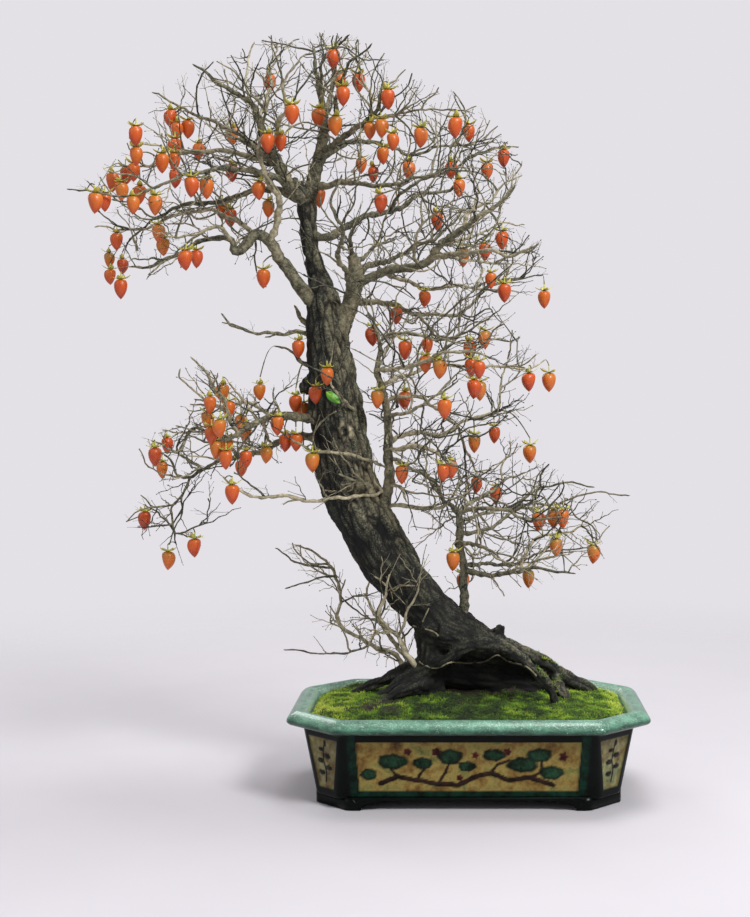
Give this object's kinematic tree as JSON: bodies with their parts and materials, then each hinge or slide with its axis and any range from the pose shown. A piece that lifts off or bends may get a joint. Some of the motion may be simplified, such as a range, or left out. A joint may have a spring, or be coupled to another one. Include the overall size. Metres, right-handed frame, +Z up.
{
  "type": "princess persimmon bonsai",
  "caption": "Leaning old fruiting tree with bare twigs and small pointed orange fruit, mossy soil and an octagonal green glazed pot on feet.",
  "frame": {"origin": "under the middle of the whole bonsai, on the surface that the pot's feet stand on", "axes": "+X to the right as seen from the front, where the pot stands, +Y to the back, +Z up"},
  "size_m": [0.725, 0.3742, 0.9678],
  "materials": {
    "glaze": "glossy turquoise green glaze over dark clay, thin and speckled at the lip, ochre panels",
    "screen": "matt dark moulded net",
    "soil": "damp dark grit",
    "moss": "soft feathery cushions",
    "bark": "rough dark bark, paler and greyer towards the twigs",
    "leaf": "thin satin leaf",
    "fruit": "smooth waxy ripe skin, orange to red, with green-yellow sepals"
  },
  "bodies": {
    "root": {"pot": "glaze", "drain_screen_left": "screen", "drain_screen_right": "screen", "soil": "soil", "moss": "moss", "tree": "bark", "leaf": "leaf", "fruit_01": "fruit", "fruit_02": "fruit", "fruit_03": "fruit", "fruit_04": "fruit", "fruit_05": "fruit", "fruit_06": "fruit", "fruit_07": "fruit", "fruit_08": "fruit", "fruit_09": "fruit", "fruit_10": "fruit", "fruit_11": "fruit", "fruit_12": "fruit", "fruit_13": "fruit", "fruit_14": "fruit", "fruit_15": "fruit", "fruit_16": "fruit", "fruit_17": "fruit", "fruit_18": "fruit", "fruit_19": "fruit", "fruit_20": "fruit", "fruit_21": "fruit", "fruit_22": "fruit", "fruit_23": "fruit", "fruit_24": "fruit", "fruit_25": "fruit", "fruit_26": "fruit", "fruit_27": "fruit", "fruit_28": "fruit", "fruit_29": "fruit", "fruit_30": "fruit", "fruit_31": "fruit", "fruit_32": "fruit", "fruit_33": "fruit", "fruit_34": "fruit", "fruit_35": "fruit", "fruit_36": "fruit", "fruit_37": "fruit", "fruit_38": "fruit", "fruit_39": "fruit", "fruit_40": "fruit", "fruit_41": "fruit", "fruit_42": "fruit", "fruit_43": "fruit", "fruit_44": "fruit", "fruit_45": "fruit", "fruit_46": "fruit"}
  },
  "joints": []
}
